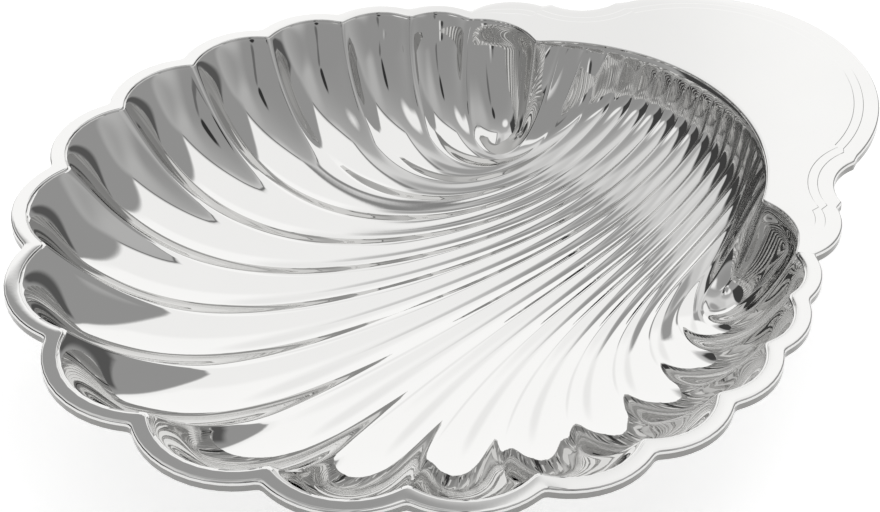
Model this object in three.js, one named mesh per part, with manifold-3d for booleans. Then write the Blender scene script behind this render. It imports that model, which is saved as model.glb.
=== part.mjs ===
// Shell serving tray: a fluted scallop-shell bowl hung in a flat scalloped rim, with a fan-shaped handle
// plate at the shell's hinge, a wire soldered under the outer edge and three turned feet.
// Millimetres, +Z up. Plans are drawn about the centre of the circle that the rim's cusps stand on, with
// the hinge and handle towards +Y and the rim's top face at height zero; the assembly then moves it all.
import * as THREE from 'three';
import { mergeVertices } from 'three/addons/utils/BufferGeometryUtils.js';
import Module from 'manifold-3d';

// Shell outline, seen from above
const CUSP_RADIUS = 135;             // circle through the inward cusps of the rim
const LAST_RIDGE_ANGLE = 135.2;      // degrees from the front to the last cusp before the hinge
const LOBE_TAPER = 1.51;             // degrees by which each lobe is narrower than its front neighbour
const FRONT_LOBE_RISE = 0.26;        // lobe height over chord at the front
const LOBE_RISE_LOSS = 0.008;        // loss of that ratio from lobe to lobe towards the hinge
const FLUTES_PER_SIDE = 9;           // flutes on each side of the centre one
const HINGE_HALF_WIDTH = 66;         // centre line to a hinge corner
const HINGE_CORNER_Y = 107;          // hinge corners behind the cusp circle's centre
const HINGE_ARC_RADIUS = 80;         // arc of the bowl's edge under the handle

// Bowl
const BOWL_DEPTH = 50.8;             // rim top to the ridges on the floor
const BOWL_SHEET = 1.3;              // sheet thickness
const LIP_WIDTH = 3.4;               // flat lip turned out under the rim
const FLUTE_RATIO = 0.092;           // depth of a flute over its width
const FLUTE_START = 0.075;           // share of the run where a flute is at full depth
const FLUTE_FADE = 0.985;            // share of the run where it starts to fade, on the hinge wall
const FLUTE_END = 0.999;             // share of the run where it has gone
const RIM_PULL = 0.05;               // straight start of a flute at the rim, over its chord
const RIM_PULL_GAIN = 0.067;         // added to that at the hinge corners
const HINGE_PULL = 0.618;            // straight run of a flute at the hinge, over its chord
const HINGE_PULL_GAIN = 0.414;       // added to that at the hinge corners
const CORNER_PULL = 15.7;            // length of the turn that the corner flutes make
const CORNER_LEAN = -0.383;          // sideways part of the direction of that turn
const CORNER_POWER = 3.68;           // how late the flutes take up that turn

// Walls at the rim, under the handle and at the hinge corners. Each has a steep part, which falls within
// an ease, by a power, and a gentle part: its share of the depth, and its own ease. Eases are shares of a
// flute's run.
const RIM_WALL = { ease: 0.138, power: 1.09, gentle: 0.115, gentleEase: 0.268 };
const HINGE_WALL = { ease: 0.012, power: 2, gentle: 0.72, gentleEase: 0.08 };
const CORNER_WALL = { ease: 0.181, power: 1, gentle: 0.444, gentleEase: 0.15 };

// Flat rim and the wire under its edge
const RIM_WIDTH = 6.3;
const PLATE_THICKNESS = 1.6;         // rim and handle are cut from the same plate
const EDGE_ROUND = 0.9;              // rounded top edge
const WIRE_HEIGHT = 2.5;
const WIRE_ROUND = 0.5;              // softened lower edge of the wire
const SEAT_GAP = 0.3;                // clearance where two pieces are soldered together

// Handle plate
const HANDLE_LENGTH = 64;            // hinge edge to the tip of the handle
const HANDLE_RADIUS = 70;            // round end of the handle
const EAR_RISE = 4;                  // height of the step from the cove up to the round end
const SHOULDER_RADIUS = 24;
const SHOULDER_FROM = -9;            // degrees of the shoulder's arc
const SHOULDER_TO = 68;
const NICK_LENGTH = 3.9;             // small step between shoulder and cove
const NICK_ANGLE = 110;
const COVE_RADIUS = 20;
const COVE_FROM = 255.5;             // degrees of the cove's arc
const COVE_TO = 174.3;
const STEP_INSETS = [6.3, 9.9];      // two raised steps, measured in from the handle's edge
const STEP_RISE = 0.45;              // height of each step
const STEP_RUNOUT = 2;               // lobe steps from the rim's end to where the raised steps run out

// Feet
const FOOT_LIFT = 5;                 // lowest flute above the table
const FRONT_FOOT_X = 50;
const FRONT_FOOT_Y = -25;
const REAR_FOOT_Y = 92;
const FOOT_BASE_RADIUS = 5;
const FOOT_BUN_RADIUS = 7.5;
const FOOT_BUN_HEIGHT = 6.4;
const FOOT_COLLAR_RADIUS = 5.6;
const FOOT_STOCK = 30;               // turned length before the top is cut to the flutes

// Mesh density
const LOBE_STEPS = 6;                // steps across one flute
const RUN_STEPS = 18;                // steps along a flute, an even number
const RUN_CROWDING = 0.8;            // how far those steps crowd towards the walls
const ARC_STEPS = 8;                 // steps along a shoulder or a cove, an even number
const HINGE_STEPS = 24;              // steps along the hinge edge of the handle
const TIP_STEPS = 14;                // steps along half of the handle's round end
const FOOT_STEPS = 16;               // steps round a foot
const BUN_STEPS = 6;                 // steps up the bulge of a foot
const NEAR = 0.001;                  // flute numbers this close are the same
const SLOPE_STEP = 0.001;            // share of a run over which a wall's slope is taken

const wasm = await Module();
wasm.setup();

const rad = THREE.MathUtils.degToRad;
const vec = (x, y) => new THREE.Vector2(x, y);
const lerp = THREE.MathUtils.lerp;
const smoothstep = THREE.MathUtils.smoothstep;
const heading = (degrees) => vec(Math.cos(rad(degrees)), Math.sin(rad(degrees)));

// Outline of the shell. A flute number u runs from -U_END at one hinge corner, over 0 at the front, to
// U_END at the other: whole numbers are the middles of flutes and halves are the ridges between them.
const U_END = FLUTES_PER_SIDE + 0.5;
const U_LAST = FLUTES_PER_SIDE - 0.5;
const SQUARES_LAST = (U_LAST * U_LAST - 0.25) / 2;
const FRONT_LOBE_ANGLE = (LAST_RIDGE_ANGLE + LOBE_TAPER * SQUARES_LAST) / U_LAST;
const HINGE_DROP = Math.sqrt(HINGE_ARC_RADIUS ** 2 - HINGE_HALF_WIDTH ** 2);
const HINGE_CENTRE_Y = HINGE_CORNER_Y - HINGE_DROP;
const HINGE_Y = HINGE_CENTRE_Y + HINGE_ARC_RADIUS;

function radial(u) {
  const size = Math.abs(u);
  const angle = rad(FRONT_LOBE_ANGLE * size - (LOBE_TAPER * Math.max(size * size - 0.25, 0)) / 2);
  return vec(Math.sign(u) * Math.sin(angle), -Math.cos(angle));
}

function cusp(u) {
  if (Math.abs(u) > U_LAST + NEAR) return vec(Math.sign(u) * HINGE_HALF_WIDTH, HINGE_CORNER_Y);
  return radial(u).multiplyScalar(CUSP_RADIUS);
}

// Circular arc from a to b that rises to one side of its chord
function lobeArc(a, b, rise) {
  const chord = b.clone().sub(a);
  const half = chord.length() / 2;
  const along = chord.clone().normalize();
  const out = vec(along.y, -along.x);
  const radius = (half * half + rise * rise) / (2 * rise);
  const middle = a.clone().add(b).multiplyScalar(0.5);
  const centre = middle.clone().addScaledVector(out, rise - radius);
  const spread = Math.asin(half / radius);
  const at = (s) => centre.clone()
    .addScaledVector(out, radius * Math.cos(2 * s * spread))
    .addScaledVector(along, radius * Math.sin(2 * s * spread));
  return { centre, radius, at };
}

const lobeOf = (u) => THREE.MathUtils.clamp(Math.round(u), -FLUTES_PER_SIDE, FLUTES_PER_SIDE);

function innerLobe(k) {
  const a = cusp(k - 0.5);
  const b = cusp(k + 0.5);
  return lobeArc(a, b, (FRONT_LOBE_RISE - LOBE_RISE_LOSS * Math.abs(k)) * a.distanceTo(b));
}

const hingeLobe = lobeArc(cusp(U_END), cusp(-U_END), HINGE_ARC_RADIUS - HINGE_DROP);

// Where two neighbouring lobes, both moved outwards by an offset, meet beyond their cusp
function offsetCusp(u, offset) {
  const corner = cusp(u);
  const out = corner.clone().normalize();
  const reach = (lobe) => {
    const across = corner.clone().sub(lobe.centre).dot(out);
    return Math.sqrt(across * across + 2 * lobe.radius * offset + offset * offset) - across;
  };
  const before = Math.abs(u - 0.5) > U_END ? hingeLobe : innerLobe(Math.round(u - 0.5));
  const after = Math.abs(u + 0.5) > U_END ? hingeLobe : innerLobe(Math.round(u + 0.5));
  return corner.addScaledVector(out, (reach(before) + reach(after)) / 2);
}

function offsetLobe(lobe, a, b, offset) {
  const middle = a.clone().add(b).multiplyScalar(0.5);
  const summit = lobe.at(0);
  const out = summit.clone().sub(lobe.centre).normalize();
  return lobeArc(a, b, summit.addScaledVector(out, offset).sub(middle).dot(out));
}

// Point of the bowl's edge, or of the line parallel to it further out
function edgePoint(u, offset) {
  const k = lobeOf(u);
  const lobe = innerLobe(k);
  if (offset === 0) return lobe.at(u - k);
  return offsetLobe(lobe, offsetCusp(k - 0.5, offset), offsetCusp(k + 0.5, offset), offset).at(u - k);
}

// The same along the hinge, from corner U_END to corner -U_END
function hingePoint(u, offset) {
  const x = (HINGE_HALF_WIDTH * u) / U_END;
  if (offset === 0) return vec(x, HINGE_CENTRE_Y + Math.sqrt(HINGE_ARC_RADIUS ** 2 - x * x));
  const arc = offsetLobe(hingeLobe, offsetCusp(U_END, offset), offsetCusp(-U_END, offset), offset);
  return arc.at(-u / (2 * U_END));
}

// Line of one flute in plan: square off the rim, then sweeping round to run straight at the hinge
function flutePath(u) {
  const share = Math.abs(u) / U_END;
  const turn = share ** CORNER_POWER;
  const corner = vec(Math.sign(u) * CORNER_LEAN, -Math.sqrt(1 - CORNER_LEAN ** 2));
  const fromRim = radial(u).negate().lerp(corner, turn).normalize();
  const fromHinge = vec(0, -1).lerp(corner, turn).normalize();
  const start = edgePoint(u, 0);
  const end = hingePoint(u, 0);
  const chord = start.distanceTo(end);
  const rimPull = (RIM_PULL + RIM_PULL_GAIN * share) * chord + CORNER_PULL * turn;
  const hingePull = (HINGE_PULL + HINGE_PULL_GAIN * share) * chord + CORNER_PULL * turn;
  const curve = new THREE.CubicBezierCurve(
    start,
    start.clone().addScaledVector(fromRim, rimPull),
    end.clone().addScaledVector(fromHinge, hingePull),
    end,
  );
  const aboveRimWall = wallShare(RIM_WALL, turn);
  const aboveHingeWall = wallShare(HINGE_WALL, turn);
  return {
    length: curve.getLength(),
    at: (t) => curve.getPointAt(t),
    along: (t) => curve.getTangentAt(t),
    fall: (t) => (1 - aboveRimWall(t)) * (1 - aboveHingeWall(1 - t)),
  };
}

// Share of the depth still to fall at a run from the edge
function wallShare(wall, turn) {
  const [ease, power, gentle, gentleEase] = ['ease', 'power', 'gentle', 'gentleEase'].map(
    (key) => lerp(wall[key], CORNER_WALL[key], turn),
  );
  return (run) => {
    const reach = Math.max(run, 0);
    return (1 - gentle) * Math.exp(-((reach / ease) ** power)) + gentle * Math.exp(-reach / gentleEase);
  };
}

// The bowl's lip and the edge wires lie against the underside of the rim and handle plates
const UNDER_PLATE = -PLATE_THICKNESS - SEAT_GAP;

const FALL_DEPTH = BOWL_DEPTH + UNDER_PLATE;

const runs = Array.from({ length: RUN_STEPS + 1 }, (_, j) => {
  const s = j / RUN_STEPS;
  return s - (RUN_CROWDING * Math.sin(2 * Math.PI * s)) / (2 * Math.PI);
});
const columnCount = (2 * FLUTES_PER_SIDE + 1) * LOBE_STEPS;
const columns = Array.from({ length: columnCount + 1 }, (_, i) => i / LOBE_STEPS - U_END);

// Upper face of the bowl as a grid of points: one column for each flute number, running from the edge of
// the lip, down the wall, along the floor and up the hinge wall to the lip again. The two end columns
// run down the corner ridge and back up the same line.
function bowlFace() {
  const ridges = new Map();
  const ridge = (u) => {
    if (!ridges.has(u)) ridges.set(u, flutePath(u));
    return ridges.get(u);
  };
  return columns.map((u) => {
    const path = flutePath(u);
    const k = lobeOf(u);
    const hollow = 1 - 4 * (u - k) ** 2;
    const points = runs.map((t) => {
      const width = ridge(k - 0.5).at(t).distanceTo(ridge(k + 0.5).at(t));
      const fluting = smoothstep(t, 0, FLUTE_START) * (1 - smoothstep(t, FLUTE_FADE, FLUTE_END));
      const sink = FLUTE_RATIO * width * fluting * hollow;
      const plan = path.at(t);
      const along = path.along(t);
      const drop = path.fall(t + SLOPE_STEP) - path.fall(t - SLOPE_STEP);
      const slope = (-FALL_DEPTH * drop) / (2 * SLOPE_STEP * path.length);
      const inward = new THREE.Vector3(-slope * along.x, -slope * along.y, 1).normalize();
      return new THREE.Vector3(plan.x, plan.y, UNDER_PLATE - FALL_DEPTH * path.fall(t))
        .addScaledVector(inward, -sink);
    });
    const lipStart = edgePoint(u, LIP_WIDTH);
    const lipEnd = hingePoint(u, LIP_WIDTH);
    points.unshift(new THREE.Vector3(lipStart.x, lipStart.y, UNDER_PLATE));
    points.push(new THREE.Vector3(lipEnd.x, lipEnd.y, UNDER_PLATE));
    return points;
  });
}

// Numbers the grid's points, giving both runs of an end column the same numbers, and lists its triangles
function gridTopology(face) {
  const last = face[0].length - 1;
  const number = [];
  let count = 0;
  face.forEach((column, i) => {
    const folded = i === 0 || i === face.length - 1;
    number.push(column.map((_, j) => (folded && j > last - j ? -1 : count++)));
    if (folded) column.forEach((_, j) => { if (j > last - j) number[i][j] = number[i][last - j]; });
  });
  const triangles = [];
  for (let i = 0; i + 1 < face.length; i++) {
    for (let j = 0; j < last; j++) {
      const [a, b, c, d] = [number[i][j], number[i + 1][j], number[i + 1][j + 1], number[i][j + 1]];
      triangles.push([a, b, c], [a, c, d]);
    }
  }
  const rimLoop = face.map((_, i) => number[i][0]);
  const hingeLoop = face.map((_, i) => number[i][last]).reverse().slice(1, -1);
  const sound = triangles.filter(([a, b, c]) => a !== b && b !== c && c !== a);
  return { number, count, triangles: sound, loop: rimLoop.concat(hingeLoop) };
}

const face = bowlFace();
const grid = gridTopology(face);
const upperPoints = [];
face.forEach((column, i) => column.forEach((p, j) => { upperPoints[grid.number[i][j]] = p; }));
const upperNormals = pointNormals(upperPoints, grid.triangles);
const lowerPoints = (depth) => upperPoints.map((p, n) => p.clone().addScaledVector(upperNormals[n], -depth));

function pointNormals(points, triangles) {
  const geometry = closedGeometry(points, triangles);
  const normal = geometry.getAttribute('normal');
  return points.map((_, n) => new THREE.Vector3().fromBufferAttribute(normal, n));
}

function closedGeometry(points, triangles) {
  const geometry = new THREE.BufferGeometry();
  geometry.setAttribute('position', new THREE.Float32BufferAttribute(points.flatMap((p) => p.toArray()), 3));
  geometry.setIndex(triangles.flat());
  geometry.computeVertexNormals();
  return geometry;
}

const flipped = (triangles) => triangles.map(([a, b, c]) => [a, c, b]);
const shifted = (triangles, by) => triangles.map((t) => t.map((n) => n + by));

function bowlGeometry() {
  const strip = grid.loop.flatMap((a, n) => {
    const b = grid.loop[(n + 1) % grid.loop.length];
    return [[a, b + grid.count, b], [a, a + grid.count, b + grid.count]];
  });
  const lower = shifted(flipped(grid.triangles), grid.count);
  return closedGeometry(
    upperPoints.concat(lowerPoints(BOWL_SHEET)),
    grid.triangles.concat(lower, strip),
  );
}

// Solid swept through a row of like, convex sections
function sweptGeometry(sections) {
  const size = sections[0].length;
  const triangles = [];
  for (let i = 0; i + 1 < sections.length; i++) {
    for (let j = 0; j < size; j++) {
      const next = (j + 1) % size;
      const [a, b, c, d] = [i * size + j, i * size + next, (i + 1) * size + next, (i + 1) * size + j];
      triangles.push([a, c, b], [a, d, c]);
    }
  }
  const end = (sections.length - 1) * size;
  for (let j = 1; j + 1 < size; j++) {
    triangles.push([0, j, j + 1], [end, end + j + 1, end + j]);
  }
  return closedGeometry(sections.flat(), triangles);
}

// The rim runs between the two cusps next to the hinge, where the handle plate takes over
const RIM_END = U_LAST - SEAT_GAP / cusp(U_LAST).distanceTo(cusp(U_LAST - 1));
const rimColumns = columns
  .filter((u) => Math.abs(u) < U_LAST + NEAR)
  .map((u) => THREE.MathUtils.clamp(u, -RIM_END, RIM_END));

// Profile points are pairs: distance out from the bowl's edge, and height
function sweptAlongRim(profile) {
  return sweptGeometry(rimColumns.map((u) => profile.map(([offset, z]) => {
    const p = edgePoint(u, offset);
    return new THREE.Vector3(p.x, p.y, z);
  })));
}

const roundShare = EDGE_ROUND * (1 - Math.SQRT1_2);
const rimProfile = [
  [0, -PLATE_THICKNESS],
  [RIM_WIDTH, -PLATE_THICKNESS],
  [RIM_WIDTH, -EDGE_ROUND],
  [RIM_WIDTH - roundShare, -roundShare],
  [RIM_WIDTH - EDGE_ROUND, 0],
  [0, 0],
];

// The wire lies under the rim's edge, outside the bowl's lip
const WIRE_FOOT = UNDER_PLATE - WIRE_HEIGHT;
const WIRE_INNER = LIP_WIDTH + SEAT_GAP;
const wireProfile = [
  [WIRE_INNER, WIRE_FOOT],
  [RIM_WIDTH - WIRE_ROUND, WIRE_FOOT],
  [RIM_WIDTH, WIRE_FOOT + WIRE_ROUND],
  [RIM_WIDTH, UNDER_PLATE],
  [WIRE_INNER, UNDER_PLATE],
];

// Right half of the handle's edge, moved in by an inset, from the shoulder to the tip
const shoulderStart = offsetCusp(U_LAST, RIM_WIDTH);
const shoulderCentre = shoulderStart.clone().addScaledVector(heading(SHOULDER_FROM), -SHOULDER_RADIUS);
const shoulderEnd = shoulderCentre.clone().addScaledVector(heading(SHOULDER_TO), SHOULDER_RADIUS);
const coveStart = shoulderEnd.clone().addScaledVector(heading(NICK_ANGLE), NICK_LENGTH);
const coveCentre = coveStart.clone().addScaledVector(heading(COVE_FROM), -COVE_RADIUS);
const coveEnd = coveCentre.clone().addScaledVector(heading(COVE_TO), COVE_RADIUS);
const handleCentre = vec(0, HINGE_Y + HANDLE_LENGTH - HANDLE_RADIUS);
const earHeight = coveEnd.y + EAR_RISE - handleCentre.y;
const earAngle = THREE.MathUtils.radToDeg(Math.asin(earHeight / HANDLE_RADIUS));

function arcPoints(centre, radius, from, to, steps) {
  return Array.from({ length: steps + 1 }, (_, n) =>
    centre.clone().addScaledVector(heading(lerp(from, to, n / steps)), radius));
}

function handleEdge(inset) {
  return [
    ...arcPoints(shoulderCentre, SHOULDER_RADIUS - inset, SHOULDER_FROM, SHOULDER_TO, ARC_STEPS),
    ...arcPoints(coveCentre, COVE_RADIUS + inset, COVE_FROM, COVE_TO, ARC_STEPS),
    ...arcPoints(handleCentre, HANDLE_RADIUS - inset, earAngle, 90, TIP_STEPS),
  ];
}

const mirrored = (points) => points.map((p) => vec(-p.x, p.y)).reverse();
const wholeEdge = (half) => half.concat(mirrored(half).slice(1));

// Bowl's edge under the handle: from a flute number on the right, round the hinge, to the same on the left
function bowlEdge(from) {
  const side = columns.filter((u) => u > from - NEAR).map((u) => edgePoint(u, 0));
  const hinge = [];
  for (let n = 1; n < HINGE_STEPS; n++) hinge.push(hingePoint(lerp(U_END, -U_END, n / HINGE_STEPS), 0));
  return side.concat(hinge, mirrored(side));
}

function slab(outline, bottom, top) {
  const shape = new THREE.Shape(outline);
  const geometry = new THREE.ExtrudeGeometry(shape, { depth: top - bottom, bevelEnabled: false });
  return geometry.translate(0, 0, bottom);
}

function toSolid(geometry) {
  const bare = geometry.clone();
  bare.deleteAttribute('normal');
  bare.deleteAttribute('uv');
  const welded = mergeVertices(bare);
  const vertProperties = new Float32Array(welded.getAttribute('position').array);
  const triVerts = new Uint32Array(welded.getIndex().array);
  return new wasm.Manifold(new wasm.Mesh({ numProp: 3, vertProperties, triVerts }));
}

function fromSolid(solid) {
  const mesh = solid.getMesh();
  const geometry = new THREE.BufferGeometry();
  geometry.setAttribute('position', new THREE.Float32BufferAttribute(mesh.vertProperties, 3));
  geometry.setIndex(Array.from(mesh.triVerts));
  geometry.computeVertexNormals();
  return geometry;
}

// Flat plate with the raised steps of its field added on top, each starting inside the one below
function handlePlateGeometry() {
  const base = wholeEdge(handleEdge(0)).concat(bowlEdge(U_LAST).reverse());
  const fieldEdge = bowlEdge(U_LAST + STEP_RUNOUT / LOBE_STEPS).reverse();
  const steps = STEP_INSETS.map((inset, n) => {
    const outline = wholeEdge(handleEdge(inset).slice(ARC_STEPS / 2)).concat(fieldEdge);
    return toSolid(slab(outline, -PLATE_THICKNESS, STEP_RISE * (n + 1)));
  });
  return fromSolid(steps.reduce((solid, step) => solid.add(step), toSolid(slab(base, -PLATE_THICKNESS, 0))));
}

function handleWireGeometry() {
  const outer = wholeEdge(handleEdge(0));
  const inner = wholeEdge(handleEdge(RIM_WIDTH - WIRE_INNER));
  return slab(outer.concat(inner.reverse()), WIRE_FOOT, UNDER_PLATE);
}

// Everything above the bowl's underside and the soldering gap below it, to cut the feet to shape
function bowlEnvelope() {
  const summit = grid.count;
  const points = lowerPoints(BOWL_SHEET + SEAT_GAP).concat(new THREE.Vector3(0, 0, 0));
  const lid = grid.loop.map((a, n) => [a, grid.loop[(n + 1) % grid.loop.length], summit]);
  return toSolid(closedGeometry(points, flipped(grid.triangles).concat(lid)));
}

const underside = Math.min(...lowerPoints(BOWL_SHEET).map((p) => p.z));
const TABLE = underside - FOOT_LIFT;

// Turned foot: flat base, round bun and a plain collar whose top is cut to the flutes it meets
function footGeometry(x, y, envelope) {
  const bulge = 2 * FOOT_BUN_RADIUS - (FOOT_BASE_RADIUS + FOOT_COLLAR_RADIUS) / 2;
  const bun = new THREE.QuadraticBezierCurve(
    vec(FOOT_BASE_RADIUS, 0),
    vec(bulge, FOOT_BUN_HEIGHT / 2),
    vec(FOOT_COLLAR_RADIUS, FOOT_BUN_HEIGHT),
  );
  const collar = [vec(FOOT_COLLAR_RADIUS, FOOT_STOCK), vec(0, FOOT_STOCK)];
  const profile = [vec(0, 0), ...bun.getPoints(BUN_STEPS), ...collar];
  const turned = new THREE.LatheGeometry(profile, FOOT_STEPS).rotateX(Math.PI / 2).translate(x, y, TABLE);
  return fromSolid(toSolid(turned).subtract(envelope));
}

function silver(color, roughness) {
  return new THREE.MeshStandardMaterial({ color, roughness, metalness: 1 });
}

const polishedSilver = () => silver(0xd9d7d2, 0.08);
const satinSilver = () => silver(0xcfcdc8, 0.2);

function piece(name, geometry, material) {
  const mesh = new THREE.Mesh(geometry, material);
  mesh.name = name;
  return mesh;
}

const envelope = bowlEnvelope();
const tray = new THREE.Group();
tray.name = 'shell_serving_tray';
tray.add(
  piece('fluted_bowl', bowlGeometry(), polishedSilver()),
  piece('scalloped_rim', sweptAlongRim(rimProfile), polishedSilver()),
  piece('rim_edge_wire', sweptAlongRim(wireProfile), polishedSilver()),
  piece('handle_plate', handlePlateGeometry(), polishedSilver()),
  piece('handle_edge_wire', handleWireGeometry(), polishedSilver()),
  piece('foot_front_left', footGeometry(-FRONT_FOOT_X, FRONT_FOOT_Y, envelope), satinSilver()),
  piece('foot_front_right', footGeometry(FRONT_FOOT_X, FRONT_FOOT_Y, envelope), satinSilver()),
  piece('foot_rear', footGeometry(0, REAR_FOOT_Y, envelope), satinSilver()),
);

// Stand the feet on height zero and put the middle of the whole length over the origin
const frontY = edgePoint(0, RIM_WIDTH).y;
const tipY = HINGE_Y + HANDLE_LENGTH;
tray.children.forEach((mesh) => mesh.geometry.translate(0, -(frontY + tipY) / 2, -TABLE));

export default tray;
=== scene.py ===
import math

import bpy
import numpy as np
from bpy.props import FloatProperty, FloatVectorProperty, PointerProperty
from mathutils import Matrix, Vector


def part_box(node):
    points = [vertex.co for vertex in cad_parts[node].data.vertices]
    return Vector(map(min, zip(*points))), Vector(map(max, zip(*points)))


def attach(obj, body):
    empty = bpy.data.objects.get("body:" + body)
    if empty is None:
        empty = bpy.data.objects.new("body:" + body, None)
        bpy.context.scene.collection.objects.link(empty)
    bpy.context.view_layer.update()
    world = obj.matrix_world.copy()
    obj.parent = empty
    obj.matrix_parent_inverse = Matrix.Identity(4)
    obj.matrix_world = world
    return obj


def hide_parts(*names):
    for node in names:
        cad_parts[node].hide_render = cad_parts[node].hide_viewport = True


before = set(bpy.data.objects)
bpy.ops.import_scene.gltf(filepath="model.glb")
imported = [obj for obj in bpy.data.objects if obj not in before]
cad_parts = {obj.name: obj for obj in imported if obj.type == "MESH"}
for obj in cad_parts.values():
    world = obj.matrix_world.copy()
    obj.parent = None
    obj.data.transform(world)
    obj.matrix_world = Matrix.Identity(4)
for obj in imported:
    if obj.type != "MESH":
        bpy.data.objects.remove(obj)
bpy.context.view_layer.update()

bl_info = {
    "name": "Shell Serving Tray",
    "version": (1, 0, 0),
    "blender": (4, 5, 0),
    "location": "View3D > Sidebar > Shell Tray",
    "description": "Builds a polished scallop-shell serving tray over its packed solids",
    "category": "Add Mesh",
}

# Plan of the shell in metres and degrees, about the centre of the circle that the rim's cusps stand on,
# with the hinge towards +Y and the rim's top at height zero
CUSP_RADIUS = 0.135
LAST_RIDGE_ANGLE = 135.2
LOBE_TAPER = 1.51
FRONT_LOBE_RISE = 0.26
LOBE_RISE_LOSS = 0.008
FLUTES_PER_SIDE = 9
HINGE_HALF_WIDTH = 0.066
HINGE_CORNER_Y = 0.107
HINGE_ARC_RADIUS = 0.08
LIP_WIDTH = 0.0034

# Fall of the walls over a flute's run: ease and power of the steep part, share and ease of the gentle part
RIM_WALL = (0.138, 1.09, 0.115, 0.268)
HINGE_WALL = (0.012, 2.0, 0.74, 0.105)
CORNER_WALL = (0.3, 1.3, 0.05, 0.15)
RIM_CORNER_POWER = 4
HINGE_CORNER_POWER = 8
BOWL_TOP = 0.0005

# Hollow and sweep of the flutes, by shares of a flute's run and of the chord between its ends
FLUTE_START = 0.075
HOLLOW_POWER = 2.2
COVE_RUN = (0.7, 0.97)
COVE_FLUTE_GAIN = 0.35
FLUTE_FADE = 0.989
FLUTE_END = 0.997
RIM_PULL = 0.05
RIM_PULL_GAIN = 0.067
HINGE_PULL = 0.618
HINGE_PULL_GAIN = 0.414
CORNER_PULL = 0.0157
CORNER_LEAN = -0.383
CORNER_POWER = 3.68

# Rounding of the ridges: its greatest reach in flutes where they are crisp and where they are soft, and
# the run over which they turn soft and crisp again
CORNER_CHORD = 0.012
SHARP_REACH = 0.14
SOFT_REACH = 0.34
SOFT_RUN = (0.1, 0.24, 0.46, 0.64)
SOFT_GAIN = 2.2
SOFT_TAPS = np.linspace(-1, 1, 41)
SOFT_WEIGHTS = (1 - SOFT_TAPS**2)**2 / ((1 - SOFT_TAPS**2)**2).sum()

# Sections of the rim, the handle's edge and the wires under them, with slopes in degrees
WALL_SLOPE = 61
HINGE_SLOPE = 75
CROWN_SLOPE = 1.5
ROLL_RADIUS = 0.0004
CROWN_TRIM = 3 * ROLL_RADIUS
WIRE_INSET = 0.0026
WIRE_ROUND = 0.0005

# Handle plate
HANDLE_START = 0.0063
HANDLE_LENGTH = 0.064
HANDLE_RADIUS = 0.07
EAR_RISE = 0.004
SHOULDER_RADIUS = 0.024
SHOULDER_ARC = (-9, 68)
NICK_LENGTH = 0.0039
NICK_ANGLE = 110
COVE_RADIUS = 0.02
COVE_ARC = (255.5, 174.3)
EDGE_SETTLE = 0.6
HINGE_SIDE = 0.8

# Section of a step on the handle: distance in from its line, and share of its rise
STEP_SECTION = (
    (-0.0004, 0), (-0.0002, 0), (-0.0001, 0.12), (0, 0.5), (0.0001, 0.88), (0.0002, 1), (0.0004, 1))

# Where the steps start across the rim, and how far along the shoulder they reach their line and height
STEP_STARTS = (0.55, 0.75)
STEP_SETTLE = (0.05, 0.6)
STEP_GROWTH = (0.05, 1)

# Shares of the way from the inner step to the bowl at which the flat field has its rows
FIELD_ROWS = (0.15, 0.35, 0.55, 0.75, 0.9, 0.97)

# Feet
FOOT_BASE = 0.005
FOOT_COLLAR = 0.0056
FOOT_EASE = 0.0004
FOOT_NECK = 0.0006
FOOT_STOCK = 0.02
UNDER_FEET = -0.01
FEET = {
    "foot_left": ("foot_front_left", -0.05, -0.025),
    "foot_right": ("foot_front_right", 0.05, -0.025),
    "foot_back": ("foot_rear", 0.0, 0.092),
}

# Mesh density, smoothing angles in degrees and tolerances
FLUTE_COLUMNS = 16
COLUMN_CROWDING = 0.55
RUN_ROWS = 128
ROW_CROWDING = 0.8
FINE_COLUMNS = 160
CURVE_STEPS = 512
ROUND_STEPS = 6
CROWN_STEPS = 8
SHOULDER_STEPS = 24
CORNER_STEPS = 3
COVE_STEPS = 24
TIP_STEPS = 44
HANDLE_POINTS = SHOULDER_STEPS + COVE_STEPS + TIP_STEPS + 2 * CORNER_STEPS + 1
FOOT_SIDES = 48
BUN_STEPS = 10
SMOOTH_ANGLE = 40
BOWL_SMOOTH_ANGLE = 60
MERGE_DISTANCE = 1e-6
TINY = 1e-9

# Metal: scale and detail of its clouds and grain, tone and gloss in a cloud, and strength of polishing marks
CLOUD = (35, 3)
GRAIN = (900, 2)
CLOUD_TONE = 0.975
CLOUD_GLOSS = (0.7, 1.3)
MARK_DEPTH = 0.0001
POLISH_MARKS = 0.01
EDGE_ROUGHNESS = 0.12
EDGE_MARKS = 0.02
SATIN_MARKS = 0.05

# Floor
FLOOR_SIZE = 8
FLOOR_HEIGHT = -0.0002
FLOOR_CLOUD = (3, 2)
FLOOR_CLOUD_TONE = 0.99
FLOOR_ROUGHNESS = 0.9
FLOOR_SHEEN = 0.1
FLOOR_LIFT = 0.54

# Room on the camera's side: its tone low down and overhead, and the middle and reach of the change
ROOM_TONES = (0.86, 1.36)
ROOM_RISE = (-25, 35)

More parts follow.
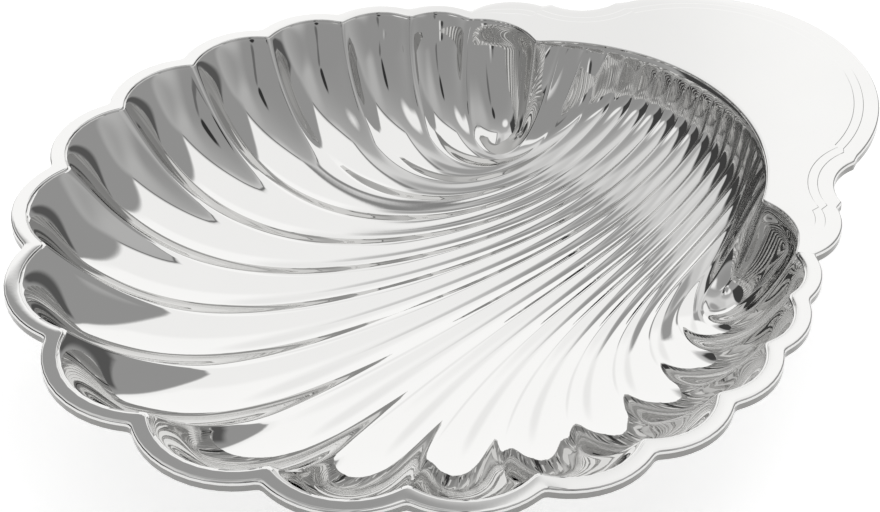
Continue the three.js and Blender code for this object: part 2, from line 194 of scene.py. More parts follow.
# What stands round the tray as its metal mirrors it, each laid over those before it: kind, brightness or
# the setting that holds it, and place in degrees. A panel lies between two edges to the right and two away
# from the camera, measured from straight up, each pair with a softness, and runs on where it has no last
# edge. A skirting is measured round from ahead and up from the floor. A spot has a middle and a reach each
# way, and a softness.
STUDIO = {
    "left wall": ("panel", "left_wall", (-52, -1, 4), (-5, 50, 5)),
    "light middle of the left wall": ("panel", 0.72, (-50, -22, 4), (2, 40, 6)),
    "right end of the room": ("spot", 0.46, (38, 12), (-28, 22), 0.7),
    "left end of the room": ("spot", 0.62, (-48, 12), (-4, 10), 0.5),
    "lamp at the left": ("spot", 0.9, (-31, 11), (-31, 8), 0.4),
    "glow overhead": ("spot", 0.7, (8, 18), (4, 18), 0.4),
    "overhead card": ("panel", 0.92, (2, 42, 1.5), (-8, None, 2)),
    "near frame of the overhead card": ("panel", 0.16, (2, 42, 1.5), (-11.5, -9.5, 1)),
    "far end of the left wall": ("panel", 0.66, (-46, -4, 4), (33, 60, 4)),
    "gap beside the overhead card": ("panel", 0.32, (-22, 1, 3), (40, 60, 2)),
    "right wall": ("panel", 0.30, (42, None, 1.5), (-12, None, 6)),
    "white card": ("panel", "card", (-43, 38, 3), (50, None, 1)),
    "right side of the white card": ("panel", "card", (6, 38, 4), (42, None, 4)),
    "shade on the white card": ("spot", 0.88, (3, 5), (57, 9), 0.6),
    "dark skirting at the right": ("skirting", 0.09, (38, 95, 4), (3, 11, 2)),
    "dark flag at the left": ("panel", 0.05, (-95, -50, 2), (-26, 62, 4)),
    "grey flag overhead": ("spot", 0.34, (-7, 5), (26, 14), 0.4),
    "left frame of the overhead card": ("panel", 0.24, (-0.3, 1.8, 0.8), (-11, 36, 2)),
    "low lamp beside the camera": ("panel", 0.75, (-12, -6, 1.5), (-96, -80, 3)),
    "camera": ("spot", 0.03, (4, 4), (-48, 7), 0.25),
    "camera stand": ("spot", 0.14, (8, 3), (-66, 9), 0.4),
    "low dark box": ("spot", 0.05, (-17, 5), (-83, 4), 0.4),
}

U_END = FLUTES_PER_SIDE + 0.5
U_LAST = FLUTES_PER_SIDE - 0.5
FRONT_LOBE_ANGLE = (LAST_RIDGE_ANGLE + LOBE_TAPER * (U_LAST**2 - 0.25) / 2) / U_LAST
HINGE_DROP = math.sqrt(HINGE_ARC_RADIUS**2 - HINGE_HALF_WIDTH**2)
HINGE_CENTRE_Y = HINGE_CORNER_Y - HINGE_DROP
HINGE_Y = HINGE_CENTRE_Y + HINGE_ARC_RADIUS
HANDLE_CENTRE = np.array([0, HINGE_Y + HANDLE_LENGTH - HANDLE_RADIUS])

# Where that plan lies in the frame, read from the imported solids
RIM_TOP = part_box("scalloped_rim")[1].z
PLACE = np.array([0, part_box("handle_plate")[1].y - HINGE_Y - HANDLE_LENGTH, RIM_TOP])

# Camera of the picture
CAMERA_LENS = 95.85
CAMERA_SENSOR = 36
CAMERA_TARGET = (0.0199, PLACE[1] - 0.0065, RIM_TOP)
CAMERA_PLACE = (0.5376, PLACE[1] - 0.4013, RIM_TOP + 0.5241)
VIEW_AHEAD = (-0.7951, 0.6064)


class TrayShape(bpy.types.PropertyGroup):
    """Sizes of the tray"""

    bowl_depth: FloatProperty(
        name="Bowl depth", description="From the rim's top to the ridges on the floor",
        default=0.0508, min=0.02, max=0.08, unit="LENGTH")
    sheet: FloatProperty(
        name="Sheet", description="Thickness of the bowl's sheet",
        default=0.0013, min=0.0005, max=0.003, unit="LENGTH")
    flute_depth: FloatProperty(
        name="Flute depth", description="Depth of a flute on the floor over its width there",
        default=0.08, min=0, max=0.3, subtype="FACTOR")
    ridge_round: FloatProperty(
        name="Ridge rounding", description="Reach over which a ridge is rounded, to each side",
        default=0.0026, min=0.0005, max=0.01, unit="LENGTH")
    rim_width: FloatProperty(
        name="Rim width", description="Width of the flat rim",
        default=0.0063, min=0.004, max=0.012, unit="LENGTH")
    plate: FloatProperty(
        name="Plate", description="Thickness of the rim and handle plates",
        default=0.0016, min=0.0008, max=0.003, unit="LENGTH")
    edge_round: FloatProperty(
        name="Edge rounding", description="Radius of the outer top edge",
        default=0.0009, min=0.0002, max=0.0015, unit="LENGTH")
    wire_height: FloatProperty(
        name="Wire height", description="Height of the wire under the outer edge",
        default=0.0028, min=0.001, max=0.005, unit="LENGTH")
    step_rise: FloatProperty(
        name="Step rise", description="Height of each of the two steps on the handle",
        default=0.0002, min=0, max=0.001, unit="LENGTH")
    outer_step: FloatProperty(
        name="Outer step", description="Distance of the first step from the handle's edge",
        default=0.0063, min=0.003, max=0.012, unit="LENGTH")
    inner_step: FloatProperty(
        name="Inner step", description="Distance of the second step from the handle's edge",
        default=0.0099, min=0.005, max=0.013, unit="LENGTH")
    foot_radius: FloatProperty(
        name="Foot radius", description="Radius of a foot at its widest",
        default=0.0075, min=0.005, max=0.012, unit="LENGTH")
    foot_height: FloatProperty(
        name="Foot bun", description="Height of the round part of a foot",
        default=0.0064, min=0.003, max=0.01, unit="LENGTH")


class TrayFinish(bpy.types.PropertyGroup):
    """Colours and gloss of the tray's metal"""

    silver: FloatVectorProperty(
        name="Silver", description="Colour of the polished metal",
        default=(0.7, 0.697, 0.688), min=0, max=1, subtype="COLOR")
    polish: FloatProperty(
        name="Polish roughness", description="Roughness of the polished faces",
        default=0.018, min=0, max=1, subtype="FACTOR")
    # The wires under the edges have a duller gloss of their own, but their colour is much darker than the
    # silver: painted shade on the side bands under the edges
    edge: FloatVectorProperty(
        name="Edge silver", description="Colour of the duller wires under the edges",
        default=(0.27, 0.268, 0.262), min=0, max=1, subtype="COLOR")
    satin: FloatProperty(
        name="Foot roughness", description="Roughness of the turned feet",
        default=0.2, min=0, max=1, subtype="FACTOR")


class StudioLook(bpy.types.PropertyGroup):
    """Floor and light of the studio"""

    floor: FloatVectorProperty(
        name="Floor", description="Colour of the floor",
        default=(0.86, 0.86, 0.86), min=0, max=1, subtype="COLOR")
    level: FloatProperty(
        name="Light level", description="Level of all the studio's light",
        default=1.33, min=0, max=3)
    card: FloatProperty(
        name="White card", description="Brightness of the white card behind the tray",
        default=1.0, min=0, max=2)
    room: FloatProperty(
        name="Room", description="Brightness of the dim room on the camera's side",
        default=0.34, min=0, max=1)
    left_wall: FloatProperty(
        name="Left wall", description="Brightness of the grey wall at the left",
        default=0.6, min=0, max=1)


class Socket:
    """Value in a shader; arithmetic on it adds Math nodes to its tree."""

    def __init__(self, nodes, socket):
        self.nodes = nodes
        self.socket = socket

    def math(self, operation, *terms):
        values = {n: term for n, term in enumerate(terms)}
        return self.nodes.add("ShaderNodeMath", {"operation": operation}, values)["Value"]

    def __add__(self, other):
        return self.math("ADD", self, other)

    def __radd__(self, other):
        return self.math("ADD", other, self)

    def __sub__(self, other):
        return self.math("SUBTRACT", self, other)

    def __rsub__(self, other):
        return self.math("SUBTRACT", other, self)

    def __mul__(self, other):
        return self.math("MULTIPLY", self, other)

    def __rmul__(self, other):
        return self.math("MULTIPLY", other, self)

    def __truediv__(self, other):
        return self.math("DIVIDE", self, other)

    def __pow__(self, other):
        return self.math("POWER", self, other)

    def at_least(self, other):
        return self.math("MAXIMUM", self, other)


class Nodes:
    """Node tree of one material or of the studio's surroundings."""

    def __init__(self, owner):
        owner.use_nodes = True
        self.tree = owner.node_tree
        self.tree.nodes.clear()

    def add(self, kind, settings=None, sockets=None):
        """Adds a node, sets it up and fills its sockets, and returns its outputs by name."""
        node = self.tree.nodes.new(kind)
        for key, value in (settings or {}).items():
            setattr(node, key, value)
        for key, value in (sockets or {}).items():
            if isinstance(value, Socket):
                self.tree.links.new(value.socket, node.inputs[key])
            else:
                node.inputs[key].default_value = value
        return {output.name: Socket(self, output) for output in node.outputs if output.enabled}

    def noise(self, vector, scale, detail):
        sockets = {"Vector": vector, "Scale": scale, "Detail": detail}
        return self.add("ShaderNodeTexNoise", None, sockets)["Fac"]

    def rise(self, value, middle, reach):
        """Soft step from 0 to 1 about a middle value."""
        sockets = {"Value": value, "From Min": middle - reach, "From Max": middle + reach}
        return self.add("ShaderNodeMapRange", {"interpolation_type": "SMOOTHSTEP"}, sockets)["Result"]

    def band(self, value, first, last, reach):
        """Soft band, 1 between two values, or from the first one on where there is no last."""
        start = self.rise(value, first, reach)
        return start if last is None else start * (1 - self.rise(value, last, reach))


def unit(vectors):
    return vectors / np.linalg.norm(vectors, axis=-1, keepdims=True)


def smooth(value, start, end):
    share = np.clip((value - start) / (end - start), 0, 1)
    return share * share * (3 - 2 * share)


def mix(a, b, share):
    return a + (b - a) * share


def heading(degrees):
    angle = np.radians(degrees)
    return np.stack([np.cos(angle), np.sin(angle)], -1)


def radial(u):
    """Direction from the plan's centre towards flute number u on the rim."""
    size = np.abs(u)
    angle = np.radians(FRONT_LOBE_ANGLE * size - LOBE_TAPER * np.maximum(size**2 - 0.25, 0) / 2)
    return np.stack([np.sign(u) * np.sin(angle), -np.cos(angle)], -1)


class Arcs:
    """Row of circular arcs, each from a to b and rising to one side of its chord."""

    def __init__(self, a, b, rise):
        self.along = unit(b - a)
        self.out = np.stack([self.along[:, 1], -self.along[:, 0]], -1)
        half = np.linalg.norm(b - a, axis=-1) / 2
        self.radius = (half**2 + rise**2) / (2 * rise)
        self.centre = (a + b) / 2 + self.out * (rise - self.radius)[:, None]
        self.summit = self.centre + self.out * self.radius[:, None]
        self.spread = np.arcsin(half / self.radius)

    def at(self, number, share):
        """Points of the numbered arcs, at shares from -1/2 to 1/2 of their length."""
        turn = 2 * share * self.spread[number]
        reach = self.radius[number][:, None]
        cosine, sine = np.cos(turn)[:, None], np.sin(turn)[:, None]
        return self.centre[number] + reach * (self.out[number] * cosine + self.along[number] * sine)


# Cusps from one hinge corner round the front to the other, and the lobes between them. A flute number u
# runs along them: whole numbers are the middles of flutes and halves are the ridges between them.
CUSPS = CUSP_RADIUS * radial(np.arange(-U_END, U_END + 1))
CUSPS[0] = (-HINGE_HALF_WIDTH, HINGE_CORNER_Y)
CUSPS[-1] = (HINGE_HALF_WIDTH, HINGE_CORNER_Y)
LOBE_NUMBERS = np.arange(-FLUTES_PER_SIDE, FLUTES_PER_SIDE + 1)
LOBE_CHORDS = np.linalg.norm(np.diff(CUSPS, axis=0), axis=-1)
LOBE_RISES = (FRONT_LOBE_RISE - LOBE_RISE_LOSS * np.abs(LOBE_NUMBERS)) * LOBE_CHORDS
LOBES = Arcs(CUSPS[:-1], CUSPS[1:], LOBE_RISES)
HINGE = Arcs(CUSPS[-1:], CUSPS[:1], np.array([HINGE_ARC_RADIUS - HINGE_DROP]))


def lobe_of(u):
    return np.clip(np.rint(u), -FLUTES_PER_SIDE, FLUTES_PER_SIDE).astype(int) + FLUTES_PER_SIDE


def offset_cusps(offset):
    """Where neighbouring lobes, moved outwards by an offset, meet beyond their cusps."""
    out = unit(CUSPS)

    def reach(centre, radius):
        across = ((CUSPS - centre) * out).sum(-1)
        return np.sqrt(across**2 + 2 * radius * offset + offset**2) - across

    before = reach(np.vstack([HINGE.centre, LOBES.centre]), np.append(HINGE.radius, LOBES.radius))
    after = reach(np.vstack([LOBES.centre, HINGE.centre]), np.append(LOBES.radius, HINGE.radius))
    return CUSPS + out * ((before + after) / 2)[:, None]


def offset_arcs(arcs, a, b, offset):
    rise = ((arcs.summit + arcs.out * offset - (a + b) / 2) * arcs.out).sum(-1)
    return Arcs(a, b, rise)


def edge_line(u, offset):
    """Points of the bowl's edge, or of the line parallel to it further out."""
    number = lobe_of(u)
    arcs = LOBES
    if offset:
        corners = offset_cusps(offset)
        arcs = offset_arcs(LOBES, corners[:-1], corners[1:], offset)
    return arcs.at(number, u - (number - FLUTES_PER_SIDE))


def hinge_line(u, offset):
    """Points of the bowl's edge under the handle, or of the line parallel to it further out."""
    if offset:
        corners = offset_cusps(offset)
        arc = offset_arcs(HINGE, corners[-1:], corners[:1], offset)
        return arc.at(np.zeros(len(u), int), -u / (2 * U_END))
    x = HINGE_HALF_WIDTH * u / U_END
    return np.stack([x, HINGE_CENTRE_Y + np.sqrt(HINGE_ARC_RADIUS**2 - x**2)], -1)


def flute_curves(u, run):
    """Plan points of the flute lines u at shares of their run, square off the rim and then swept round."""
    share = np.abs(u) / U_END
    turn = (share**CORNER_POWER)[:, None]
    lean = math.sqrt(1 - CORNER_LEAN**2)
    corner = np.stack([np.sign(u) * CORNER_LEAN, np.full(len(u), -lean)], -1)
    from_rim = unit(mix(-radial(u), corner, turn))
    from_hinge = unit(mix(np.array([0, -1.0]), corner, turn))
    start, end = edge_line(u, 0), hinge_line(u, 0)
    chord = np.linalg.norm(end - start, axis=-1)
    corner_pull = CORNER_PULL * turn[:, 0]
    rim_pull = (RIM_PULL + RIM_PULL_GAIN * share) * chord + corner_pull
    hinge_pull = (HINGE_PULL + HINGE_PULL_GAIN * share) * chord + corner_pull
    near_rim = start + from_rim * rim_pull[:, None]
    near_hinge = end + from_hinge * hinge_pull[:, None]
    s = np.linspace(0, 1, CURVE_STEPS + 1)
    weights = np.stack([(1 - s)**3, 3 * s * (1 - s)**2, 3 * s**2 * (1 - s), s**3])
    curves = np.einsum("ps,puc->usc", weights, np.stack([start, near_rim, near_hinge, end]))
    lengths = np.linalg.norm(np.diff(curves, axis=1), axis=-1).cumsum(1)
    points = np.empty((len(u), len(run), 2))
    for n, curve in enumerate(curves):
        along = np.append(0, lengths[n]) / lengths[n, -1]
        points[n, :, 0] = np.interp(run, along, curve[:, 0])
        points[n, :, 1] = np.interp(run, along, curve[:, 1])
    return points


def wall_share(run, wall, turn):
    """Share of the depth still to fall at a run from an edge: a steep part and a gentle one."""
    ease, power, gentle, gentle_ease = (mix(a, b, turn) for a, b in zip(wall, CORNER_WALL))
    return (1 - gentle) * np.exp(-(run / ease)**power) + gentle * np.exp(-run / gentle_ease)


def bowl_surface(shape, run):
    """Upper face of the bowl on fine columns: arrays of flute numbers and of points by column and row."""
    u = np.linspace(-U_END, U_END, (2 * FLUTES_PER_SIDE + 1) * FINE_COLUMNS + 1)
    plan = flute_curves(u, run)
    widths = np.linalg.norm(np.diff(plan[::FINE_COLUMNS], axis=0), axis=-1)
    share = (np.abs(u) / U_END)[:, None]
    length = np.linalg.norm(np.diff(plan, axis=1), axis=-1).sum(1)[:, None]
    from_hinge = (1 - run) * mix(length / length.max(), 1, share**HINGE_CORNER_POWER)
    fall = 1 - wall_share(run, RIM_WALL, share**RIM_CORNER_POWER)
    fall = fall * (1 - wall_share(from_hinge, HINGE_WALL, share**HINGE_CORNER_POWER))
    fluting = smooth(run, 0, FLUTE_START) * (1 - smooth(run, FLUTE_FADE, FLUTE_END))
    number = lobe_of(u)
    hollow = 1 - np.abs(2 * (u - (number - FLUTES_PER_SIDE)))**HOLLOW_POWER
    depth = shape.flute_depth * (1 + COVE_FLUTE_GAIN * smooth(run, *COVE_RUN))
    sink = depth * widths[number] * fluting * hollow[:, None]
    height = -BOWL_TOP - (shape.bowl_depth - BOWL_TOP) * fall
    points = np.concatenate([plan, height[..., None]], -1)
    slope = np.gradient(points, run, axis=1)
    level = np.maximum(np.linalg.norm(slope[..., :2], axis=-1, keepdims=True), TINY)
    normal = unit(np.concatenate([-slope[..., 2:] * slope[..., :2] / level, level], -1))
    return u, points - sink[..., None] * normal


def folded_out(u, points):
    """The surface carried on past the hinge corners, where its far rows follow its near ones."""
    beyond = FINE_COLUMNS // 2
    step = u[1] - u[0]
    margin = step * np.arange(1, beyond + 1)
    left = points[1:beyond + 1, ::-1][::-1]
    right = points[-beyond - 1:-1, ::-1][::-1]
    wide_u = np.concatenate([u[0] - margin[::-1], u, u[-1] + margin])
    return wide_u, np.concatenate([left, points, right])


def softened(fine_u, line, u, reach):
    """Points of a line at flute numbers u, averaged over a reach to either side to round its ridges."""
    spots = u[:, None] + reach[:, None] * SOFT_TAPS
    averages = [np.interp(spots, fine_u, line[:, n]) @ SOFT_WEIGHTS for n in range(line.shape[1])]
    return np.stack(averages, -1)


def ridge_reach(shape, u, run):
    """The rounding of a ridge in flute numbers, at a share of the run."""
    rim_chord = CUSP_RADIUS * np.radians(FRONT_LOBE_ANGLE - LOBE_TAPER * np.abs(u))
    hinge_chord = 2 * HINGE_HALF_WIDTH / len(LOBE_NUMBERS)
    turn = (np.abs(u) / U_END)**CORNER_POWER
    reach = shape.ridge_round / mix(mix(rim_chord, hinge_chord, run), CORNER_CHORD, turn)
    start, full, ebb, end = SOFT_RUN
    soft = smooth(run, start, full) * (1 - smooth(run, ebb, end)) * (1 - turn)
    return np.minimum(reach * (1 + SOFT_GAIN * soft), mix(SHARP_REACH, SOFT_REACH, soft))


def crowded_columns(first, last):
    """Flute numbers from one ridge to another, closer together near the ridges."""
    share = np.arange(FLUTE_COLUMNS) / FLUTE_COLUMNS
    within = share - COLUMN_CROWDING * np.sin(2 * np.pi * share) / (2 * np.pi)
    return np.append((np.arange(first, last)[:, None] + within).ravel(), last)


class Shell:
    """Softened lines of the bowl that several pieces share."""

    def __init__(self, shape):
        self.shape = shape
        share = np.linspace(0, 1, RUN_ROWS + 1)
        self.run = share - ROW_CROWDING * np.sin(2 * np.pi * share) / (2 * np.pi)
        self.u, surface = bowl_surface(shape, self.run)
        self.wide_u, self.surface = folded_out(self.u, surface)

    def row(self, u, number):
        reach = ridge_reach(self.shape, u, self.run[number])
        return softened(self.wide_u, self.surface[:, number], u, reach)

    def edge(self, u, offset):
        reach = ridge_reach(self.shape, u, 0)
        line = edge_line(self.u, offset)
        return softened(self.u, line, u, reach)

    def lip(self, u):
        """Outer edges of the lip at the rim and at the hinge, which meet at the hinge corners."""
        wide_u, lines = folded_out(self.u, np.stack(
            [edge_line(self.u, LIP_WIDTH), hinge_line(self.u, LIP_WIDTH)], 1))
        reach = ridge_reach(self.shape, u, 0)
        return [softened(wide_u, lines[:, n], u, reach) for n in (0, 1)]


def clear_selection():
    if bpy.context.object and bpy.context.object.mode != "OBJECT":
        bpy.ops.object.mode_set(mode="OBJECT")
    bpy.ops.object.select_all(action="DESELECT")


def grid_piece(name, points):
    """Grid sheet whose columns and rows are set to the given points, in the plan's own place."""
    columns, rows = points.shape[:2]
    clear_selection()
    bpy.ops.mesh.primitive_grid_add(x_subdivisions=columns - 1, y_subdivisions=rows - 1, size=0.1)
    piece = bpy.context.object
    piece.name = piece.data.name = name
    placed = (points + PLACE).transpose(1, 0, 2)
    if len(piece.data.vertices) != columns * rows:
        found = len(piece.data.vertices)
        raise RuntimeError(f"{name}: the grid has {found} points, not {columns * rows}")
    piece.data.vertices.foreach_set("co", placed.astype(np.float32).ravel())
    piece.data.update()
    return piece


def join_sheet(close):
    """Merges the new piece's points that fall together, closes its open ends if asked and turns its faces."""
    bpy.ops.object.mode_set(mode="EDIT")
    bpy.ops.mesh.select_all(action="SELECT")
    bpy.ops.mesh.remove_doubles(threshold=MERGE_DISTANCE)
    if close:
        bpy.ops.mesh.fill_holes(sides=0)
    bpy.ops.mesh.normals_make_consistent(inside=False)
    bpy.ops.object.mode_set(mode="OBJECT")


def finish_piece(piece, nodes, material, smooth_angle=SMOOTH_ANGLE):
    """Smooths a piece, gives it its finish and lets it stand for its solids."""
    bpy.ops.object.select_all(action="DESELECT")
    piece.select_set(True)
    bpy.context.view_layer.objects.active = piece
    bpy.ops.object.shade_smooth_by_angle(angle=math.radians(smooth_angle))
    piece.data.materials.clear()
    piece.data.materials.append(material)
    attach(piece, "root")
    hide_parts(*nodes)


def cloudy_tone(nodes, cloud, colour, dim):
    """Colour that is a little darker where the cloud is low."""
    shades = {"Factor": cloud, 6: (*[part * dim for part in colour], 1), 7: (*colour, 1)}
    return nodes.add("ShaderNodeMix", {"data_type": "RGBA"}, shades)["Result"]


def silver_finish(name, colour, roughness, marks):
    """Polished silver: faint cloudy tone, slightly uneven gloss and hair-fine polishing marks."""
    material = bpy.data.materials.new(name)
    nodes = Nodes(material)
    place = nodes.add("ShaderNodeTexCoord")["Object"]
    cloud = nodes.noise(place, *CLOUD)
    grain = nodes.noise(place, *GRAIN)
    relief = nodes.add(
        "ShaderNodeBump", None, {"Strength": marks, "Distance": MARK_DEPTH, "Height": grain})["Normal"]
    metal = nodes.add(
        "ShaderNodeBsdfPrincipled", None, {
            "Base Color": cloudy_tone(nodes, cloud, colour, CLOUD_TONE), "Metallic": 1.0,
            "Roughness": roughness * mix(*CLOUD_GLOSS, cloud), "Normal": relief})["BSDF"]
    nodes.add("ShaderNodeOutputMaterial", None, {"Surface": metal})
    return material


def silver(name):
    """One of the tray's finishes, made when it is first asked for."""
    finish = bpy.context.scene.tray_finish
    looks = {
        "polished_silver": (finish.silver, finish.polish, POLISH_MARKS),
        # The wires' colour is painted shade, darker than the silver; only their roughness and marks are their
        # own
        "edge_silver_painted_shade": (finish.edge, EDGE_ROUGHNESS, EDGE_MARKS),
        "satin_silver": (finish.silver, finish.satin, SATIN_MARKS),
    }
    return bpy.data.materials.get(name) or silver_finish(name, *looks[name])


class TRAY_OT_bowl(bpy.types.Operator):
    """Presses the fluted bowl from sheet, with its lip"""
    bl_idname = "tray.bowl"
    bl_label = "Fluted Bowl"
    bl_options = {"REGISTER", "UNDO"}

    def execute(self, context):
        shape = context.scene.tray_shape
        shell = Shell(shape)
        u = crowded_columns(-U_END, U_END)
        rows = [shell.row(u, n) for n in range(RUN_ROWS + 1)]
        lip_height = np.full((len(u), 1), -shape.plate)
        rim_lip, hinge_lip = [np.hstack([line, lip_height]) for line in shell.lip(u)]
        bowl = grid_piece("bowl", np.stack([rim_lip, *rows, hinge_lip], 1))
        join_sheet(close=False)
        if sum(face.normal.z * face.area for face in bowl.data.polygons) < 0:
            bpy.ops.object.mode_set(mode="EDIT")
            bpy.ops.mesh.flip_normals()
            bpy.ops.object.mode_set(mode="OBJECT")
        wall = bowl.modifiers.new("sheet", "SOLIDIFY")
        wall.thickness = shape.sheet
        wall.offset = -1
        bpy.ops.object.modifier_apply(modifier=wall.name)
        finish_piece(bowl, ["fluted_bowl"], silver("polished_silver"), BOWL_SMOOTH_ANGLE)
        return {"FINISHED"}


def arc_profile(start, radius, first, last):
    """Points of a profile that turns from one heading to another, in degrees, at a radius."""
    turns = np.radians(np.linspace(first, last, ROUND_STEPS + 1))
    sign = 1 if last < first else -1
    first = turns[0]
    along = sign * radius * (np.sin(first) - np.sin(turns))
    up = sign * radius * (np.cos(turns) - np.cos(first))
    return np.stack([start[0] + along, start[1] + up], -1)


def rim_profile(shape):
    """Section of the rim as distances out from the bowl's edge and heights."""
    width, plate = shape.rim_width, shape.plate
    roll = arc_profile((0, 0), ROLL_RADIUS, WALL_SLOPE, CROWN_SLOPE)
    crown_rise = (width - CROWN_TRIM) * math.tan(math.radians(CROWN_SLOPE)) / 4
    foot_rise = plate - crown_rise - roll[-1, 1]
    foot = np.array([foot_rise / math.tan(math.radians(WALL_SLOPE)), -plate + foot_rise])
    roll = roll + foot
    outer = arc_profile((0, 0), shape.edge_round, -CROWN_SLOPE, -90)
    outer = outer + (width - outer[-1, 0], 0)
    share = np.linspace(0, 1, CROWN_STEPS + 1)[1:-1]
    crown_along = mix(roll[-1, 0], outer[0, 0], share)
    crown_up = roll[-1, 1] + crown_rise * 4 * share * (1 - share)
    outer[:, 1] += roll[-1, 1]
    crown = np.stack([crown_along, crown_up], -1)
    return np.vstack([[[0, -plate]], roll, crown, outer, [[width, -plate]], [[0, -plate]]])


def swept_along_rim(name, shell, profile):
    """Closed section carried round the rim, from one of its ends beside the handle to the other."""
    u = crowded_columns(-U_LAST, U_LAST)
    lines = []
    for offset, height in profile:
        plan = shell.edge(u, offset)
        lines.append(np.hstack([plan, np.full((len(u), 1), height)]))
    piece = grid_piece(name, np.stack(lines, 1))
    join_sheet(close=True)
    return piece


class TRAY_OT_rim(bpy.types.Operator):
    """Makes the scalloped rim and the wire under its edge"""
    bl_idname = "tray.rim"
    bl_label = "Scalloped Rim"
    bl_options = {"REGISTER", "UNDO"}

    def execute(self, context):
        shape = context.scene.tray_shape
        shell = Shell(shape)
        rim = swept_along_rim("rim", shell, rim_profile(shape))
        finish_piece(rim, ["scalloped_rim"], silver("polished_silver"))
        outer, inner = shape.rim_width, shape.rim_width - WIRE_INSET
        top, bottom = -shape.plate, -shape.plate - shape.wire_height
        turn = arc_profile((outer, bottom + WIRE_ROUND), WIRE_ROUND, -90, -180)
        profile = np.vstack([[[inner, top], [outer, top]], turn, [[inner, bottom], [inner, top]]])
        wire = swept_along_rim("rim_wire", shell, profile)
        # The rim's wire takes the darker silver that paints shade under the rim's edge
        finish_piece(wire, ["rim_edge_wire"], silver("edge_silver_painted_shade"))
        return {"FINISHED"}


def handle_corners():
    """Centres of the handle's right shoulder and cove arcs, and the angle at which its round end starts."""
    start = offset_cusps(HANDLE_START)[-2]
    shoulder = start - SHOULDER_RADIUS * heading(SHOULDER_ARC[0])
    end = shoulder + SHOULDER_RADIUS * heading(SHOULDER_ARC[1])
    cove = end + NICK_LENGTH * heading(NICK_ANGLE) - COVE_RADIUS * heading(COVE_ARC[0])
    ear = cove[1] + COVE_RADIUS * heading(COVE_ARC[1])[1] + EAR_RISE
    return shoulder, cove, math.degrees(math.asin((ear - HANDLE_CENTRE[1]) / HANDLE_RADIUS))


def handle_line(shell, insets):
    """Right half of a line inside the handle's edge, from the rim's end on, with an inset for each point."""
    shoulder, cove, ear = handle_corners()
    cuts = np.cumsum([SHOULDER_STEPS + 1, CORNER_STEPS - 1, COVE_STEPS + 1, CORNER_STEPS - 1])
    a, _, b, _, c = np.split(insets, cuts)
    sweep = np.linspace(*SHOULDER_ARC, SHOULDER_STEPS + 1)
    first = shoulder + (SHOULDER_RADIUS - a)[:, None] * heading(sweep)
    sweep = np.linspace(*COVE_ARC, COVE_STEPS + 1)
    second = cove + (COVE_RADIUS + b)[:, None] * heading(sweep)
    sweep = np.linspace(ear, 90, TIP_STEPS + 1)
    third = HANDLE_CENTRE + (HANDLE_RADIUS - c)[:, None] * heading(sweep)
    between = np.linspace(0, 1, CORNER_STEPS + 1)[1:-1, None]
    nick = mix(first[-1], second[0], between)
    step = mix(second[-1], third[0], between)
    line = np.vstack([first, nick, second, step, third])
    rim_end = shell.edge(np.array([U_LAST]), shell.shape.rim_width - insets[0])[0]
    settled = smooth(np.arange(len(line)) / SHOULDER_STEPS, 0, EDGE_SETTLE)
    return line + (1 - settled)[:, None] * (rim_end - line[0])


def bowl_side_of_handle(shell):
    """Right half of the bowl's edge under the handle, one point for each point of the handle's edge."""
    lobe = shell.row(np.linspace(U_LAST, U_END, SHOULDER_STEPS + 1), 0)[:-1, :2]
    turn = SHOULDER_STEPS + COVE_STEPS + 2 * CORNER_STEPS
    side = np.linspace(U_END, HINGE_SIDE * U_END, turn - SHOULDER_STEPS, endpoint=False)
    tip = np.linspace(HINGE_SIDE * U_END, 0, HANDLE_POINTS - turn)
    hinge = shell.row(np.append(side, tip), RUN_ROWS)[:, :2]
    return np.vstack([lobe, hinge])


def mirrored(half):
    """A line's right half followed by its mirror image."""
    left = half[-2::-1] * np.where(np.arange(half.shape[1]) == 0, -1, 1)
    return np.vstack([half, left])


def at_height(line, height):
    return np.hstack([line, np.broadcast_to(height, len(line))[:, None]])


def handle_rows(shape, shell):
    """Rows of the handle plate, from below by the bowl round its outer edge, over its top and down again."""
    plate = shape.plate
    flat = np.zeros(HANDLE_POINTS)
    along = np.minimum(np.arange(HANDLE_POINTS) / SHOULDER_STEPS, 1)
    settle = smooth(along, *STEP_SETTLE)
    raised = smooth(along, *STEP_GROWTH)
    bowl_side = bowl_side_of_handle(shell)
    across = np.gradient(bowl_side, axis=0)
    inward = unit(np.stack([across[:, 1], -across[:, 0]], -1))
    rows = [at_height(bowl_side, -plate), at_height(handle_line(shell, flat), -plate)]
    for reach, drop in arc_profile((0, 0), shape.edge_round, 0, -90)[::-1]:
        rows.append(at_height(handle_line(shell, flat + shape.edge_round - reach), drop))
    height = flat
    for step, start_share in zip((shape.outer_step, shape.inner_step), STEP_STARTS):
        inset = mix(shape.rim_width * start_share, step, settle)
        top = height + shape.step_rise * raised
        for lean, share in STEP_SECTION:
            line = handle_line(shell, inset + lean)
            rows.append(at_height(line, mix(height, top, share)))
        height = top
    roll = arc_profile((0, 0), ROLL_RADIUS, HINGE_SLOPE, 0)
    foot_rise = plate - roll[-1, 1]
    roll = roll + (foot_rise / math.tan(math.radians(HINGE_SLOPE)), -roll[-1, 1])
    field_edge = bowl_side + inward * roll[-1, 0]
    step_edge = line
    for share in FIELD_ROWS:
        rows.append(at_height(mix(step_edge, field_edge, share), height))
    for reach, drop in roll[::-1]:
        rows.append(at_height(bowl_side + inward * reach, drop + height * (1 + drop / plate)))
    rows.append(rows[0])
    return rows


def handle_piece(name, rows):
    piece = grid_piece(name, np.stack([mirrored(row) for row in rows], 1))
    join_sheet(close=True)
    return piece


